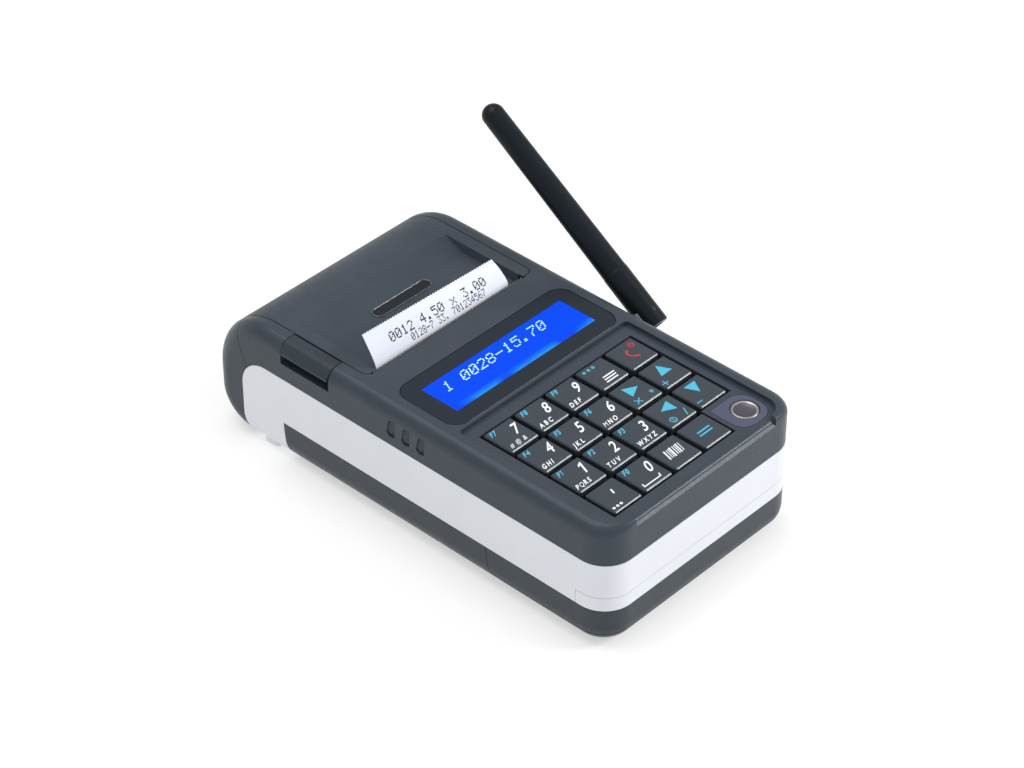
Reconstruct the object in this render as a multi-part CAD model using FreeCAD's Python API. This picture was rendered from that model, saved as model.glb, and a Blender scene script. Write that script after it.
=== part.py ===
"""Portable receipt printer and payment terminal: every sub-part as its own solid, in millimetres.

X is the user's right, Y points from the user to the paper end, Z is up.  The origin is the
centre of the flat underside of the base shell; the rubber feet stand FOOT_Z below it.
"""
import FreeCAD, Part
import math
import os
from FreeCAD import Vector

os.makedirs("parts", exist_ok=True)

# ---- driving dimensions ------------------------------------------------------------------
HALF_W = 42.3            # half the body's width
FRONT_Y = -81.2          # the body's front and rear ends
REAR_Y = 80.2
TOP_Z = 40.9             # top face, level with the display window
KEY_Z = 39.9             # key tops
TRAY_Z = 39.6            # floor of the tray around the keys
BAND_TOP_Z = 27.4        # upper edge of the white band
BAND_LOW_Z = 10.4        # lower edge of the white band
BULGE_Z = -3.3           # lowest level of the base's rear bulge
GROOVE_Z, GROOVE_DEPTH = 1.0, 0.3
FRONT_BULGE_Z = -2.6     # lowest level of the battery door's bulge
FOOT_Z = -3.8            # ground plane under the rubber feet
TOE_Z = -3.6             # sole of the rear toes, that carry the rear feet
REAR_FOOT_X, REAR_FOOT_Y = 38.0, 58.5
WALL = 2.0               # wall thickness of the shells
SEAM = 0.1               # half of the gap left between two shells
BASE_SCREWS = [(-34, -29), (34, -29), (-34, 2), (34, 2)]
SCREW_R, SCREW_HEAD_R = 1.5, 2.6
FRONT_R = 10.0           # plan radius of the front corners
REAR_TOP_R = 22.9        # radius of the rounded rear end, above
REAR_LOW_R = 14.0        # radius of the rounded rear end, below
SHOULDER_R = 4.3         # rounding of the top edges
FRONT_EDGE_R = 1.6       # the same, along the front
REAR_SIDE_R = 6.5        # rounding of the rear end's sides
SOLE_R = 7.0             # rounding of the bottom edges

KEY_PITCH = 13.1
KEY_SIZE = 11.5
KEY_ROW_Y = -68.65       # front row of keys
BOARD_TOP_Z = 35.0
MAT_TOP_Z = 36.2
KEY_LOW_Z = 37.1
BUTTON_X, BUTTON_Y, BUTTON_R = 28.9, -70.75, 4.3
PLAQUE = (21.2, 34.6, -77.3, -63.9)
FIELD_X = 33.0           # half width of the opening that the keys stand in
FIELD_Y = (-75.2, -23.0)

TRAY_X = 36.5            # half width of the tray
TRAY_END_Y = -18.2       # step between the tray and the display deck
TRAY_FRONT_Y = -79.1
DECK_LOW_Z = TRAY_Z - 2.2
WINDOW_X = 36.2
WINDOW_Y = (-17.3, 8.9)
WINDOW_R = 5.5
LCD_X = (-28.6, 31.9)
LCD_Y = (-9.9, 5.2)

COVER_X = 35.7           # half width of the paper cover
CHEEK_X = 36.0           # inner face of the cheeks beside the cover
COVER_FRONT_Y = 19.7     # front edge of the cover's raised rims
SLOT_FRONT_Y = 19.0      # front edge of the paper slot
SLOT_X = (-34.3, 32.2)
RAMP_X = 31.8            # half width of the dip behind the paper
RAMP_DEPTH = 2.7
RAMP_FOOT_Y = 44.0       # the dip's floor is flat from here to the slot
RAMP_HEAD_Y = 52.5       # the dip runs out here
BADGE_X, BADGE_Y = 1.0, 41.4
BADGE_L, BADGE_W = 24.6, 5.0
HINGE_Y, HINGE_Z = 76.5, 12.8
BARREL_R = 3.3
PLATEN_EARS = [(-33.9, -32.6), (26.6, 27.9)]
HINGE_PIN_R = 1.25
REAR_SEAM_Y = 65.6       # seam between the top shell and the rear housing, at 24 mm up
REAR_SEAM_SLOPE = 0.352

LATCH_Y = (29.7, 49.5)
LATCH_PIVOT = (-37.1, 39.7)      # X, Z of the latch's pin
LATCH_PIN_R = 0.5

PAPER_W = 57.0
PAPER_X = -3.0           # the paper runs left of the middle
ROLL_Y, ROLL_Z, ROLL_R = 50.0, 19.4, 17.0
PLATEN_Y, PLATEN_Z, PLATEN_R = 25.4, 30.2, 4.0
SHAFT_R = 1.5
ROLLER_X = (-32.0, 26.0)
MOTOR_X = (8.0, 26.0)
AXLE_R = 1.5
PINION_SHAFT_R = 1.0
PAPER_T = 0.15

GEAR_MODULE = 0.75
GEAR_X = (30.0, 33.0)
PLATEN_TEETH, IDLER_TEETH, PINION_TEETH = 14, 18, 10

ANT_X, ANT_Y, ANT_Z = 51.4, -13.9, 32.6      # the antenna's folding pin
ANT_TILT = math.radians(34.3)                # the whip leans back, this far above level
ANT_UP, ANT_DOWN = 81.4, 4.5                 # the whip's reach each side of its pin
ANT_ROOT_R, ANT_TIP_R = 4.3, 3.7
SLOT_HALF = 1.75         # half the slot in the whip's foot
TONGUE_HALF = 1.65
FOLD_PIN_R = 0.8

FAR = 100.0              # well outside the body


# ---- helpers -----------------------------------------------------------------------------
def box(x0, x1, y0, y1, z0, z1):
    return Part.makeBox(x1 - x0, y1 - y0, z1 - z0, Vector(x0, y0, z0))


def rod(radius, start, end):
    a, b = Vector(*start), Vector(*end)
    return Part.makeCylinder(radius, (b - a).Length, a, b - a)


def arc(a, mid, b):
    return Part.Arc(Vector(*a), Vector(*mid), Vector(*b)).toShape()


def line(a, b):
    return Part.makeLine(Vector(*a), Vector(*b))


def polygon(points):
    return Part.Face(Part.makePolygon([Vector(*p) for p in points + points[:1]]))


def side_prism(points, x0, x1):
    """A prism along X from (y, z) points."""
    return polygon([(x0, y, z) for y, z in points]).extrude(Vector(x1 - x0, 0, 0))


def front_prism(points, y0, y1):
    """A prism along Y from (x, z) points."""
    return polygon([(x, y0, z) for x, z in points]).extrude(Vector(0, y1 - y0, 0))


def upright_edges(shape):
    return [e for e in shape.Edges if e.BoundBox.XLength < 1e-6 and e.BoundBox.YLength < 1e-6]


def rounded_box(x0, x1, y0, y1, z0, z1, radius):
    block = box(x0, x1, y0, y1, z0, z1)
    return block.makeFillet(radius, upright_edges(block))


def fuse(shapes):
    result = shapes[0]
    for shape in shapes[1:]:
        result = result.fuse(shape)
    return result.removeSplitter()


def cut(shape, tools):
    for tool in tools:
        shape = shape.cut(tool)
    return shape


def save(name, shape):
    solids = shape.Solids
    result = solids[0] if len(solids) == 1 else Part.makeCompound(solids)
    if not result.isValid():
        print("NOT VALID", name)
    result.exportStep("parts/" + name + ".step")
    print(name, len(solids), round(shape.Volume))


# ---- the body's outer form ---------------------------------------------------------------
def side_outline(inset):
    """The body seen from its side, before its edges are rounded."""
    y0, y1 = FRONT_Y + inset, REAR_Y - inset
    z0, z1 = BULGE_Z + inset, TOP_Z - inset
    high, low = REAR_TOP_R - inset, REAR_LOW_R - inset
    bend = math.sqrt(0.5)
    edges = [
        line((0, y0, z0), (0, y0, z1)),
        line((0, y0, z1), (0, y1 - high, z1)),
        arc((0, y1 - high, z1), (0, y1 - high + high * bend, z1 - high + high * bend),
            (0, y1, z1 - high)),
        line((0, y1, z1 - high), (0, y1, z0 + low)),
        arc((0, y1, z0 + low), (0, y1 - low + low * bend, z0 + low - low * bend),
            (0, y1 - low, z0)),
        line((0, y1 - low, z0), (0, y0, z0)),
    ]
    return Part.Face(Part.Wire(edges))


def under_cutter(rise):
    """Everything below the body's underside: a flat middle between two shallow bulges."""
    deep = -20.0
    rear, front = BULGE_Z - 1.0, FRONT_BULGE_Z
    points = [(90, deep), (90, rear), (44.8, rear), (44.8, BULGE_Z)]
    edges = [line((0, a[0], a[1] + rise), (0, b[0], b[1] + rise)) for a, b in zip(points, points[1:])]

    def swell(y_a, z_a, y_b, z_b):
        middle = (y_a + y_b) / 2
        curve = Part.BezierCurve()
        curve.setPoles([Vector(0, y, z + rise) for y, z in
                        ((y_a, z_a), (middle, z_a), (middle, z_b), (y_b, z_b))])
        return curve.toShape()

    edges.append(swell(44.8, BULGE_Z, 32.8, 0.0))
    edges.append(line((0, 32.8, rise), (0, -36.2, rise)))
    edges.append(swell(-36.2, 0.0, -47.2, front))
    tail = [(-47.2, front), (-90, -0.6), (-90, deep), (90, deep)]
    edges += [line((0, a[0], a[1] + rise), (0, b[0], b[1] + rise)) for a, b in zip(tail, tail[1:])]
    face = Part.Face(Part.Wire(Part.__sortEdges__(edges)))
    face.translate(Vector(-60, 0, 0))
    return face.extrude(Vector(120, 0, 0))


def blank(inset, front_r):
    """The whole body as one solid, with every outer edge rounded; front_r is the front's top edge."""
    half = HALF_W - inset
    face = side_outline(inset)
    face.translate(Vector(-half, 0, 0))
    solid = face.extrude(Vector(2 * half, 0, 0))
    corners = [e for e in upright_edges(solid) if e.BoundBox.YMax < 0]
    solid = solid.makeFillet(FRONT_R - inset, corners)

    top_r = SHOULDER_R - inset
    rear_r, sole_r = REAR_SIDE_R - inset, SOLE_R - inset
    low_z, high_z = BULGE_Z + inset, TOP_Z - inset
    radii = []
    for number, edge in enumerate(solid.Edges, 1):
        bounds = edge.BoundBox
        start_z = edge.valueAt(edge.FirstParameter).z
        on_side = bounds.XLength < 1e-6 and abs(abs(bounds.XMin) - half) < 1e-6
        if bounds.ZMin > high_z - 1e-3 and bounds.YMax < 60.0:
            ends = [top_r if edge.valueAt(t).y > FRONT_Y + inset + 1.0 else front_r
                    for t in (edge.FirstParameter, edge.LastParameter)]
            radii.append((number, *ends))
        elif bounds.ZMax < low_z + 1e-3 and bounds.YMin < 60.0 and bounds.YMax < 70.0:
            if on_side or bounds.YMax < -60.0:
                radii.append((number, sole_r, sole_r))
        elif on_side and bounds.YMax > 60.0 and bounds.YLength < 1e-6:
            radii.append((number, rear_r, rear_r))
        elif on_side and bounds.YMax > 60.0 and bounds.ZMax > high_z - 1e-3:
            ends = (top_r, rear_r) if start_z > 30.0 else (rear_r, top_r)
            radii.append((number, *ends))
        elif on_side and bounds.YMax > 60.0:
            ends = (sole_r, rear_r) if start_z < 0.0 else (rear_r, sole_r)
            radii.append((number, *ends))

    document = FreeCAD.newDocument("blank")
    base = document.addObject("Part::Feature", "base")
    base.Shape = solid
    rounding = document.addObject("Part::Fillet", "rounding")
    rounding.Base = base
    rounding.Edges = radii
    document.recompute()
    left = rounding.Shape.common(box(-60, 0, -FAR, FAR, -FAR, FAR))
    FreeCAD.closeDocument(document.Name)
    left = left.cut(under_cutter(inset))
    return fuse([left, left.mirror(Vector(0, 0, 0), Vector(1, 0, 0))])


OUTER = blank(0.0, FRONT_EDGE_R)
INNER = blank(WALL, SHOULDER_R - WALL)
SKIN = OUTER.cut(INNER)


# ---- where the shells part from each other -----------------------------------------------

def curved_cutter(y_top, y_low, z_top, z_low, towards):
    """Everything on one side (+1 rear, -1 front) of a seam that curves down across the base."""
    bow = (y_top * 0.7 + y_low * 0.3, (z_top + z_low) / 2)
    edges = [
        arc((0, y_top, z_top), (0, *bow), (0, y_low, z_low)),
        line((0, y_low, z_low), (0, towards * FAR, z_low)),
        line((0, towards * FAR, z_low), (0, towards * FAR, z_top)),
        line((0, towards * FAR, z_top), (0, y_top, z_top)),
    ]
    face = Part.Face(Part.Wire(edges))
    face.translate(Vector(-60, 0, 0))
    return face.extrude(Vector(120, 0, 0))


def band_region(grow):
    """The side view of the white shell: a band with a rounded rear end that reaches the floor."""
    radius = 10.5 + grow
    y_rear, z_top = 67.5 + grow, BAND_TOP_Z - SEAM + grow
    z_low, y_heel = BAND_LOW_Z + SEAM - grow, 49.9 - grow
    bend = math.sqrt(0.5)
    edges = [
        line((0, -FAR, z_low), (0, -FAR, z_top)),
        line((0, -FAR, z_top), (0, y_rear - radius, z_top)),
        arc((0, y_rear - radius, z_top),
            (0, y_rear - radius * (1 - bend), z_top - radius * (1 - bend)),
            (0, y_rear, z_top - radius)),
        line((0, y_rear, z_top - radius), (0, y_rear, 5.0)),
        line((0, y_rear, 5.0), (0, y_rear - 3.5, -9.0)),
        line((0, y_rear - 3.5, -9.0), (0, y_heel - 3.5, -9.0)),
        arc((0, y_heel - 3.5, -9.0), (0, y_heel - 1.0, 1.5), (0, y_heel, z_low)),
        line((0, y_heel, z_low), (0, -FAR, z_low)),
    ]
    face = Part.Face(Part.Wire(edges))
    face.translate(Vector(-60, 0, 0))
    return face.extrude(Vector(120, 0, 0))


BAND = band_region(0.0)
BAND_AROUND = band_region(2 * SEAM)
LOW_HALF = box(-60, 60, -FAR, FAR, -20, BAND_LOW_Z - SEAM)
SEAM_LOW_Y = REAR_SEAM_Y - 4 * REAR_SEAM_SLOPE
SEAM_HIGH_Y = REAR_SEAM_Y + 36 * REAR_SEAM_SLOPE
TOP_HALF = side_prism([(-FAR, 20), (SEAM_LOW_Y - SEAM, 20), (SEAM_HIGH_Y - SEAM, 60),
                       (-FAR, 60)], -60, 60).cut(BAND_AROUND)
REAR_HALF = side_prism([(60, -20), (60, 20), (SEAM_LOW_Y + SEAM, 20), (SEAM_HIGH_Y + SEAM, 60),
                        (FAR, 60), (FAR, -20)], -60, 60).cut(BAND_AROUND)
DOOR_SEAM = dict(y_top=-34.3, y_low=-37.6, z_top=BAND_LOW_Z, z_low=-3.4)
DOOR_SIDE = curved_cutter(towards=-1, **DOOR_SEAM)
BASE_SIDE = curved_cutter(towards=1, **DOOR_SEAM)
BASE_SIDE.translate(Vector(0, 2 * SEAM, 0))
LIP = box(-60, 60, -FAR, -69.3, BAND_LOW_Z + SEAM, 15.2)
LIP_AROUND = box(-60, 60, -FAR, -69.15, -20, 15.35)
COVER_BAY = rounded_box(-CHEEK_X, CHEEK_X, COVER_FRONT_Y - 0.3, FAR, HINGE_Z - 3.6, 60, 2.3)


# ---- top shell ---------------------------------------------------------------------------


def field_cutter():
    """The opening around the keys, less the cell of the round button."""
    field = box(-FIELD_X, FIELD_X, FIELD_Y[0], FIELD_Y[1], TRAY_Z - 5, TRAY_Z + 2)
    cell = box(19.6, FIELD_X + 1, FIELD_Y[0] - 1, -62.1, TRAY_Z - 6, TRAY_Z + 3)
    return field.cut(cell)


def tray_cutter():
    tray = box(-TRAY_X, TRAY_X, TRAY_FRONT_Y, TRAY_END_Y, TRAY_Z, TOP_Z + 4)
    uprights = upright_edges(tray)
    front = [e for e in uprights if e.BoundBox.YMax < -50]
    tray = tray.makeFillet(5.8, front)
    rear = [e for e in upright_edges(tray) if e.BoundBox.YMin > -50]
    return tray.makeFillet(1.5, rear)


def front_edge_cutter():
    """Lowers the front rim between the corners and rounds it over."""
    lip_z = TRAY_Z + 0.3
    flat_end, nose = (0, FRONT_Y + 2.1, lip_z), (0, FRONT_Y + 0.75, lip_z - 0.95)
    edges = [
        line((0, -72, 50), (0, -72, lip_z)),
        line((0, -72, lip_z), flat_end),
        arc(flat_end, (0, FRONT_Y + 1.3, lip_z - 0.33), nose),
        line(nose, (0, FRONT_Y - 5, nose[2] - 6)),
        line((0, FRONT_Y - 5, nose[2] - 6), (0, FRONT_Y - 5, 50)),
        line((0, FRONT_Y - 5, 50), (0, -72, 50)),
    ]
    face = Part.Face(Part.Wire(edges))
    face.translate(Vector(-60, 0, 0))
    bar = face.extrude(Vector(120, 0, 0))
    low, high = 30.5, 34.0
    taper = front_prism([(-low, 36), (low, 36), (low, lip_z), (high, 50), (-high, 50), (-low, lip_z)],
                        -90, -70)
    return bar.common(taper)


def side_notches():
    """Three slanted finger marks in the left wall."""
    notches = []
    for middle_y in (3.4, -2.6, -8.6):
        outline = [(middle_y - 1.7, 36.6), (middle_y + 0.9, 36.3),
                   (middle_y + 1.9, 31.6), (middle_y + 0.8, 30.4), (middle_y - 1.3, 30.6)]
        notch = side_prism(outline, -HALF_W - 1, -HALF_W + 2)
        along = [e for e in notch.Edges if e.BoundBox.XLength > 2.5]
        notch = notch.makeFillet(0.5, along)
        slope = box(-4, 0.0, -6, 6, 20, 50)
        slope.rotate(Vector(0, 0, 0), Vector(0, 0, 1), 12)
        slope.translate(Vector(-HALF_W + 0.35, middle_y + 1.9, 0))
        notches.append(notch.common(slope))
    return notches


def latch_recess():
    y0, y1 = LATCH_Y[0] - 0.3, LATCH_Y[1] + 0.3
    x, z = LATCH_PIVOT
    return [box(-60, -CHEEK_X + 1, y0, y1, 38.3, 60),
            box(-60, -37.9, y0, y1, 33.2, 39.0),
            box(-38.2, -CHEEK_X + 1, y0 + 4, y1 - 4, 33.5, 39.0),
            rod(LATCH_PIN_R, (x, y0 - 0.9, z), (x, y1 + 0.9, z))]


def make_top_shell():
    shell = SKIN.common(TOP_HALF)
    deck = OUTER.common(box(-41, 41, FRONT_Y, SLOT_FRONT_Y - 1.4, DECK_LOW_Z, TOP_Z + 1))
    cheeks = [OUTER.common(box(x0, x1, SLOT_FRONT_Y, FAR, BAND_TOP_Z + 3, 60)).common(TOP_HALF)
              for x0, x1 in ((-60, -CHEEK_X), (CHEEK_X, 60))]
    shell = fuse([shell, deck] + cheeks)
    slot = box(*SLOT_X, SLOT_FRONT_Y, COVER_FRONT_Y, 30, 60)
    window = rounded_box(-WINDOW_X, WINDOW_X, *WINDOW_Y, TOP_Z - 1.2, TOP_Z + 2, WINDOW_R)
    sight = box(LCD_X[0] - 2.5, LCD_X[1] + 2.5, LCD_Y[0] - 2.2, LCD_Y[1] + 1.4, 30, TOP_Z)
    jack = rod(3.3, (HALF_W - 8, ANT_Y, ANT_Z), (HALF_W + 2, ANT_Y, ANT_Z))
    button_hole = rod(4.55, (BUTTON_X, BUTTON_Y, 30), (BUTTON_X, BUTTON_Y, 50))
    shell = cut(shell, [tray_cutter(), front_edge_cutter(), field_cutter(), COVER_BAY, slot,
                        window, sight, jack, button_hole, plaque_solid(0.12)])
    shell = cut(shell, side_notches() + latch_recess())
    return max(shell.Solids, key=lambda s: s.Volume)


# ---- round button and its plaque ---------------------------------------------------------


def plaque_solid(grow):
    """A teardrop: a rounded square whose corner towards the keys stays sharp."""
    x0, x1, y0, y1 = PLAQUE
    block = box(x0 - grow, x1 + grow, y0 - grow, y1 + grow, TRAY_Z - 0.7, TRAY_Z + 0.02)
    blunt = [e for e in upright_edges(block)
             if not (e.BoundBox.XMax < x0 + 1 and e.BoundBox.YMin > y1 - 1)]
    return block.makeFillet(5.0, blunt)


save("top_shell", make_top_shell())
plaque = plaque_solid(0.0).cut(rod(4.5, (BUTTON_X, BUTTON_Y, 30), (BUTTON_X, BUTTON_Y, 50)))
save("button_plaque", plaque)


def make_round_button():
    """A satin cap with a shallow dish, on a stem."""
    cap = rod(BUTTON_R, (BUTTON_X, BUTTON_Y, TRAY_Z - 2.4), (BUTTON_X, BUTTON_Y, TRAY_Z + 0.1))
    dish_r = 18.0
    dish = Part.makeSphere(dish_r, Vector(BUTTON_X, BUTTON_Y, TRAY_Z + 0.1 - 0.45 + dish_r))
    stem = rod(1.6, (BUTTON_X, BUTTON_Y, TRAY_Z - 2.6), (BUTTON_X, BUTTON_Y, TRAY_Z - 2.0))
    return fuse([cap.cut(dish), stem])


save("round_button", make_round_button())


# ---- middle, base and rear shells --------------------------------------------------------


def make_mid_shell():
    shell = SKIN.common(BAND).cut(LIP_AROUND)
    reach = HALF_W - WALL / 2
    low = BAND_LOW_Z + SEAM
    ceiling = box(-reach, reach, -79.5, -37.4, 18.5, 19.6).common(OUTER)
    bay_end = box(-reach, reach, -37.4, -36.2, low, 19.6)
    ledges = [box(x0, x1, -34, 0, 18.6, 20.2) for x0, x1 in ((-reach, -35), (35, reach))]
    posts = [fuse([rod(3.4, (x, y, low), (x, y, 14)),
                   box(min(x, side * reach), max(x, side * reach), y - 1, y + 1, low, 14)])
             .cut(rod(SCREW_R + 0.05, (x, y, 5), (x, y, 13)))
             for x, y, side in [(x, y, math.copysign(1, x)) for x, y in BASE_SCREWS]]
    toes = [rounded_box(x - 2.2, x + 2.2, REAR_FOOT_Y - 3, REAR_FOOT_Y + 3, TOE_Z, 0, 1.6)
            for x in (-REAR_FOOT_X, REAR_FOOT_X)]
    return fuse([shell, ceiling, bay_end] + ledges + posts + toes)


def make_base_shell():
    shell = SKIN.common(LOW_HALF).cut(BAND_AROUND).common(BASE_SIDE)
    shell = shell.common(box(-60, 60, -FAR, 52, -20, 20))
    bosses = [rod(3.8, (x, y, 1.0), (x, y, BAND_LOW_Z - SEAM)) for x, y in BASE_SCREWS]
    heads = [rod(SCREW_HEAD_R + 0.3, (x, y, -1), (x, y, 2.0)) for x, y in BASE_SCREWS]
    shanks = [rod(SCREW_R + 0.05, (x, y, 0), (x, y, 12)) for x, y in BASE_SCREWS]
    return cut(fuse([shell] + bosses), heads + shanks)


save("mid_shell", make_mid_shell())
save("base_shell", make_base_shell())


def sole_groove():
    """A fine line scribed round the front of the base, a little above its sole."""
    strip = box(-60, 60, -FAR, 30, GROOVE_Z, GROOVE_Z + 0.35)
    return strip.cut(blank(GROOVE_DEPTH, SHOULDER_R - GROOVE_DEPTH))


def make_battery_door():
    shell = SKIN.common(LOW_HALF).common(DOOR_SIDE).cut(sole_groove())
    runners = [box(side * 38.0 - 0.6, side * 38.0 + 0.6, -66, -40, 1, BAND_LOW_Z + 2.5)
               for side in (-1, 1)]
    floor_ribs = [box(-38.6, 38.6, y, y + 1.2, -0.4, 1.6) for y in (-64, -52, -42)]
    return fuse([shell] + runners + floor_ribs)


save("battery_door", make_battery_door())
save("battery_door_lip", SKIN.common(LIP))


def make_rear_housing():
    shell = SKIN.common(REAR_HALF)
    cheeks = [OUTER.common(box(x0, x1, 60, FAR, 4, 60)).common(REAR_HALF)
              for x0, x1 in ((-60, -CHEEK_X), (CHEEK_X, 60))]
    bridge = OUTER.common(box(-60, 60, 73.2, FAR, HINGE_Z - 7.5, HINGE_Z - 3.6))
    shell = fuse([shell] + cheeks + [bridge])
    barrel_room = rod(BARREL_R + 0.6, (-CHEEK_X, HINGE_Y, HINGE_Z), (CHEEK_X, HINGE_Y, HINGE_Z))
    pin_bore = rod(HINGE_PIN_R, (-39.5, HINGE_Y, HINGE_Z), (39.5, HINGE_Y, HINGE_Z))
    shell = cut(shell, [COVER_BAY, barrel_room, pin_bore])
    return max(shell.Solids, key=lambda s: s.Volume)


save("rear_housing", make_rear_housing())


# ---- feet --------------------------------------------------------------------------------
def feet(places, seat_z, radius, bevel):
    """Rubber pads with a bevelled sole."""
    pads = []
    for x, y in places:
        sole = Part.makeCone(radius - bevel, radius, bevel, Vector(x, y, FOOT_Z))
        pads.append(fuse([sole, rod(radius, (x, y, FOOT_Z + bevel), (x, y, seat_z))]))
    return Part.makeCompound(pads)


save("rear_feet", feet([(-REAR_FOOT_X, REAR_FOOT_Y), (REAR_FOOT_X, REAR_FOOT_Y)], TOE_Z, 1.6, 0.1))
save("front_feet", feet([(-29, -54), (29, -54)], FRONT_BULGE_Z + 3, 4.0, 0.3).cut(OUTER))


# ---- paper cover -------------------------------------------------------------------------
def ramp_cutter():
    """The dip behind the paper: a flat floor that runs out towards the rear."""
    floor_z = TOP_Z - RAMP_DEPTH
    outline = [(10, floor_z), (RAMP_FOOT_Y, floor_z), (RAMP_HEAD_Y, TOP_Z),
               (RAMP_HEAD_Y, TOP_Z + 5), (10, TOP_Z + 5)]
    sides = front_prism([(-RAMP_X + 1, floor_z - 0.1), (RAMP_X - 1, floor_z - 0.1),
                         (RAMP_X + 1, TOP_Z + 5.3), (-RAMP_X - 1, TOP_Z + 5.3)], 5, 60)
    return side_prism(outline, -RAMP_X - 2, RAMP_X + 2).common(sides)




def make_paper_cover():
    extent = box(-COVER_X, COVER_X, COVER_FRONT_Y, FAR, HINGE_Z - 0.6, 60)
    corners = [e for e in upright_edges(extent) if e.BoundBox.YMax < 30]
    extent = extent.makeFillet(2.0, corners)
    wall = SKIN.common(extent)
    under_ramp = OUTER.common(extent).common(
        box(-34.0, 34.0, COVER_FRONT_Y, RAMP_HEAD_Y + 1, TOP_Z - RAMP_DEPTH - 1.8, TOP_Z))
    bend = side_prism([(COVER_FRONT_Y + 2.2, 30), (COVER_FRONT_Y + 2.2, 36.1), (RAMP_FOOT_Y, 36.1),
                       (RAMP_HEAD_Y, 38.8), (70, 38.8), (70, 30)], -34.1, 34.1)
    skirts = [OUTER.common(extent).common(box(x0, x1, 31, 72, 30, 60))
              for x0, x1 in ((-COVER_X, -34.2), (34.2, COVER_X))]
    ears = [box(x0, x1, PLATEN_Y - 3.2, PLATEN_Y + 3.2, PLATEN_Z - 3.0, TOP_Z - RAMP_DEPTH - 0.5)
            for x0, x1 in PLATEN_EARS]
    barrel = rod(BARREL_R, (-COVER_X, HINGE_Y, HINGE_Z), (COVER_X, HINGE_Y, HINGE_Z))
    neck = OUTER.common(box(-COVER_X, COVER_X, HINGE_Y, FAR, HINGE_Z - 0.6, HINGE_Z + 4))
    cover = fuse([wall, under_ramp.cut(bend)] + skirts)
    ramp_front = box(-RAMP_X, RAMP_X, 0, COVER_FRONT_Y + 1.6, 30, 60)
    cover = cut(cover, [ramp_cutter(), ramp_front])
    cover = fuse([cover, barrel, neck] + ears)
    pin_hole = rod(HINGE_PIN_R + 0.05, (-40, HINGE_Y, HINGE_Z), (40, HINGE_Y, HINGE_Z))
    shaft_hole = rod(SHAFT_R + 0.05, (-36, PLATEN_Y, PLATEN_Z), (36, PLATEN_Y, PLATEN_Z))
    badge_seat = pill(BADGE_L / 2, BADGE_W / 2, TOP_Z - RAMP_DEPTH - 0.3, TOP_Z)
    cover = cut(cover, [pin_hole, shaft_hole, badge_seat])
    return max(cover.Solids, key=lambda s: s.Volume)


def pill(half_length, half_width, z0, z1):
    """A plate with round ends, lying across the cover."""
    straight = half_length - half_width
    middle = box(BADGE_X - straight, BADGE_X + straight, BADGE_Y - half_width,
                 BADGE_Y + half_width, z0, z1)
    ends = [rod(half_width, (BADGE_X + s * straight, BADGE_Y, z0), (BADGE_X + s * straight, BADGE_Y, z1))
            for s in (-1, 1)]
    return fuse([middle] + ends)


save("paper_cover", make_paper_cover())
ramp_z = TOP_Z - RAMP_DEPTH
badge = pill(BADGE_L / 2 - 0.05, BADGE_W / 2 - 0.05, ramp_z - 0.3, ramp_z + 0.35)
save("cover_badge", badge.cut(pill(BADGE_L / 2 - 0.5, BADGE_W / 2 - 0.5, ramp_z + 0.1, ramp_z + 1)))
save("cover_hinge_pin", rod(HINGE_PIN_R, (-39.5, HINGE_Y, HINGE_Z), (39.5, HINGE_Y, HINGE_Z)))


# ---- cover latch -------------------------------------------------------------------------
def make_cover_latch():
    """A pull lip outside the wall, a hook arm inside, rocking on one pin."""
    x, z = LATCH_PIVOT
    y0, y1 = LATCH_Y
    outline = [(x + 0.7, TOP_Z), (-39.1, TOP_Z), (-40.5, TOP_Z - 0.6), (-41.6, TOP_Z - 1.6),
               (-42.4, TOP_Z - 2.6), (-42.9, TOP_Z - 3.4), (-42.8, TOP_Z - 3.9),
               (-41.8, TOP_Z - 4.1), (-40.2, TOP_Z - 3.2), (-38.8, TOP_Z - 1.5), (x + 0.7, TOP_Z - 1.1)]
    lever = front_prism(outline, y0, y1)
    boss = rod(1.1, (x, y0, z), (x, y1, z))
    hook = front_prism([(x - 0.7, z + 0.4), (x + 0.8, z + 0.4), (x + 0.8, z - 4.6),
                        (x + 1.2, z - 5.0), (x + 1.2, z - 5.6), (x - 0.7, z - 5.9)],
                       y0 + 4.6, y1 - 4.6)
    latch = fuse([lever, boss, hook])
    spring_room = rod(0.98, (x, y0 + 1.0, z), (x, y0 + 3.6, z))
    below = box(x - 1.0, x + 1.1, y0 + 1.0, y0 + 3.6, z - 3, z)
    return cut(latch, [rod(LATCH_PIN_R + 0.05, (x, y0 - 1, z), (x, y1 + 1, z)), spring_room, below])


def make_latch_spring():
    """A close-wound coil round the latch's pin."""
    x, z = LATCH_PIVOT
    wire, pitch = 0.16, 0.3
    first = LATCH_Y[0] + 1.3
    turns = [Part.makeTorus(0.76, wire, Vector(x, first + k * pitch, z), Vector(0, 1, 0))
             for k in range(7)]
    leg = rod(wire, (x - 0.6, first, z - 0.45), (x - 0.6, first, z - 1.3))
    return fuse(turns + [leg])


save("cover_latch", make_cover_latch())
save("latch_pin", rod(LATCH_PIN_R, (LATCH_PIVOT[0], LATCH_Y[0] - 1.2, LATCH_PIVOT[1]),
                      (LATCH_PIVOT[0], LATCH_Y[1] + 1.2, LATCH_PIVOT[1])))
save("latch_spring", make_latch_spring())


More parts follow.
